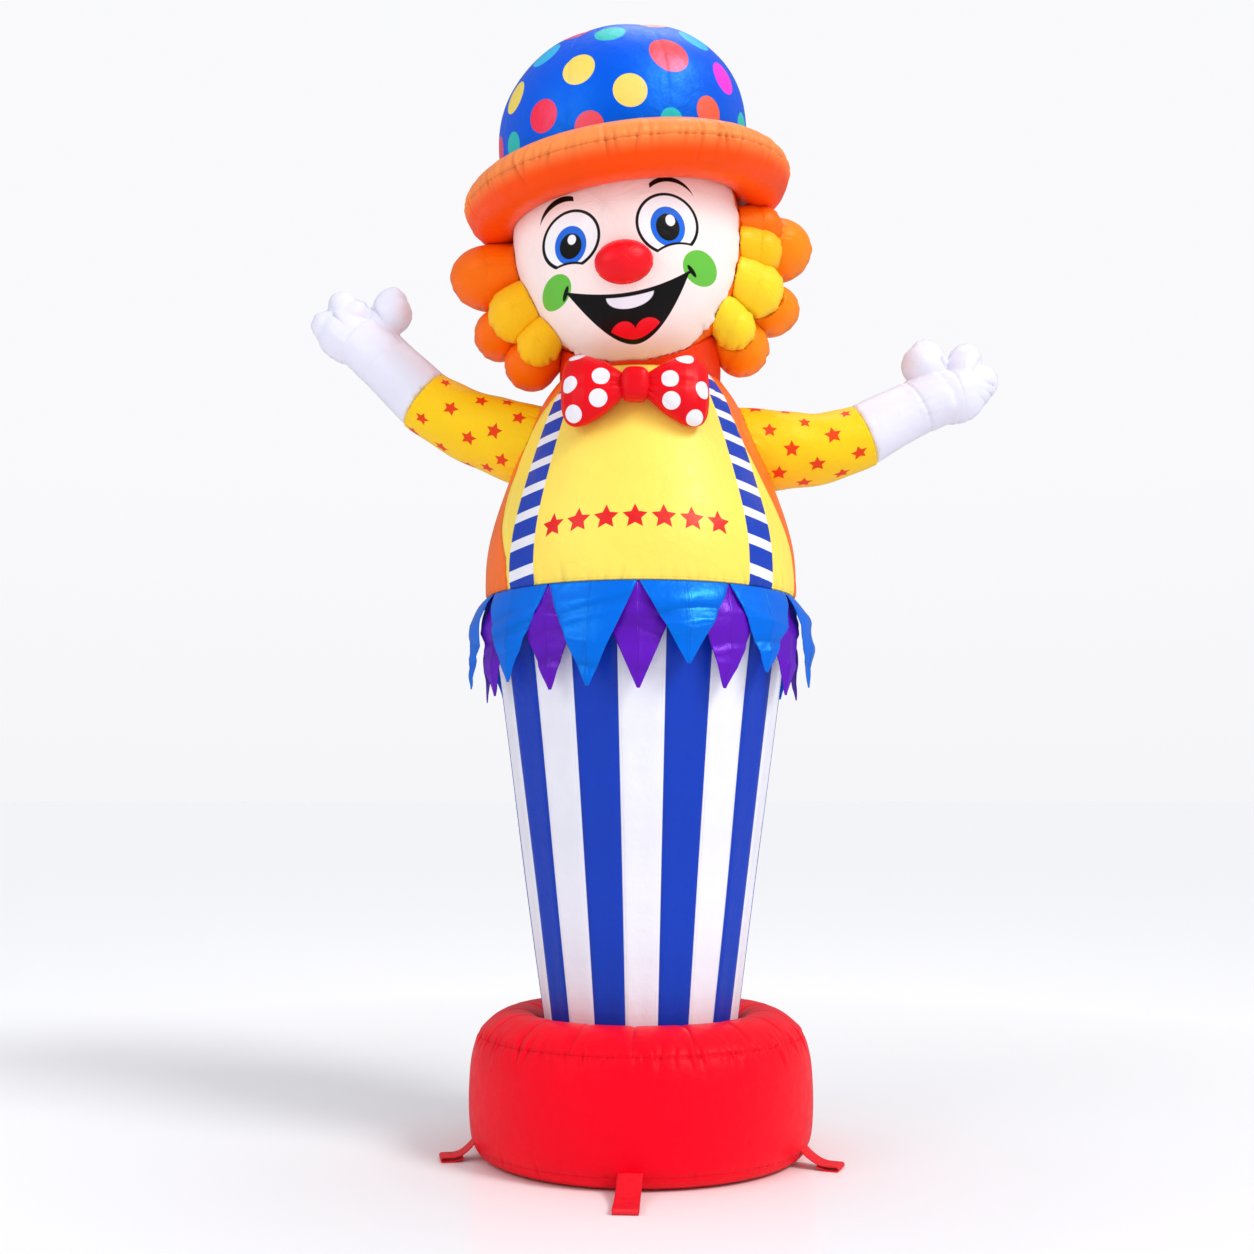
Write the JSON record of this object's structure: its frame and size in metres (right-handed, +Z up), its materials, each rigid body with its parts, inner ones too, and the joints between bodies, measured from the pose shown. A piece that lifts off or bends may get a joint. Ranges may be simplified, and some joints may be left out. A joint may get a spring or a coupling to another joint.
{
  "type": "inflatable air dancer",
  "caption": "Tall inflatable clown figure with raised arms, a striped column body, domed hat, bow tie and a fat cushion base, blown up with air and tethered at its foot.",
  "frame": {"origin": "centre of the base's flat underside, on the ground", "axes": "+Z up along the column; the face looks along -Y; +X is the viewer's right"},
  "size_m": [1.4706, 0.8598, 2.2881],
  "materials": {
    "base_red": "coated polyester taffeta, inflated, soft gloss",
    "column_stripes": "coated polyester taffeta, inflated, soft gloss, sewn white and blue stripes",
    "torso_yellow": "coated polyester taffeta, inflated, soft gloss, orange side panels and printed blue and white suspenders",
    "neck_red": "coated polyester taffeta, inflated, soft gloss",
    "head_print": "coated polyester taffeta, inflated, soft gloss, printed face",
    "brim_orange": "coated polyester taffeta, inflated, soft gloss",
    "crown_dots": "coated polyester taffeta, inflated, soft gloss, printed dots",
    "nose_red": "coated polyester taffeta, inflated, soft gloss",
    "bow_red": "coated polyester taffeta, inflated, soft gloss, printed white dots",
    "sleeve_stars": "coated polyester taffeta, inflated, soft gloss, printed orange stars",
    "glove_white": "coated polyester taffeta, inflated, soft gloss",
    "hair_orange": "coated polyester taffeta, inflated, soft gloss",
    "hair_amber": "coated polyester taffeta, inflated, soft gloss",
    "hair_yellow": "coated polyester taffeta, inflated, soft gloss",
    "pennant_blue": "single layer of thin polyester taffeta",
    "pennant_purple": "single layer of thin polyester taffeta",
    "tether_webbing": "woven polyester webbing"
  },
  "bodies": {
    "root": {"base": "base_red", "bow_knot": "bow_red", "bow_left": "bow_red", "bow_right": "bow_red", "column": "column_stripes", "glove_left": "glove_white", "glove_right": "glove_white", "hair_left_1": "hair_orange", "hair_left_2": "hair_orange", "hair_left_3": "hair_orange", "hair_left_4": "hair_amber", "hair_left_5": "hair_amber", "hair_right_1": "hair_orange", "hair_right_2": "hair_orange", "hair_right_3": "hair_amber", "hair_right_4": "hair_yellow", "hair_right_5": "hair_orange", "hair_right_6": "hair_yellow", "hair_right_7": "hair_orange", "hat_brim": "brim_orange", "hat_crown": "crown_dots", "head": "head_print", "neck": "neck_red", "nose": "nose_red", "pennant_blue_1": "pennant_blue", "pennant_blue_10": "pennant_blue", "pennant_blue_11": "pennant_blue", "pennant_blue_2": "pennant_blue", "pennant_blue_3": "pennant_blue", "pennant_blue_4": "pennant_blue", "pennant_blue_5": "pennant_blue", "pennant_blue_6": "pennant_blue", "pennant_blue_7": "pennant_blue", "pennant_blue_8": "pennant_blue", "pennant_blue_9": "pennant_blue", "pennant_purple_1": "pennant_purple", "pennant_purple_10": "pennant_purple", "pennant_purple_11": "pennant_purple", "pennant_purple_2": "pennant_purple", "pennant_purple_3": "pennant_purple", "pennant_purple_4": "pennant_purple", "pennant_purple_5": "pennant_purple", "pennant_purple_6": "pennant_purple", "pennant_purple_7": "pennant_purple", "pennant_purple_8": "pennant_purple", "pennant_purple_9": "pennant_purple", "sleeve_left": "sleeve_stars", "sleeve_right": "sleeve_stars", "tether_1": "tether_webbing", "tether_2": "tether_webbing", "tether_3": "tether_webbing", "tether_4": "tether_webbing", "tether_5": "tether_webbing", "torso": "torso_yellow"}
  },
  "joints": []
}
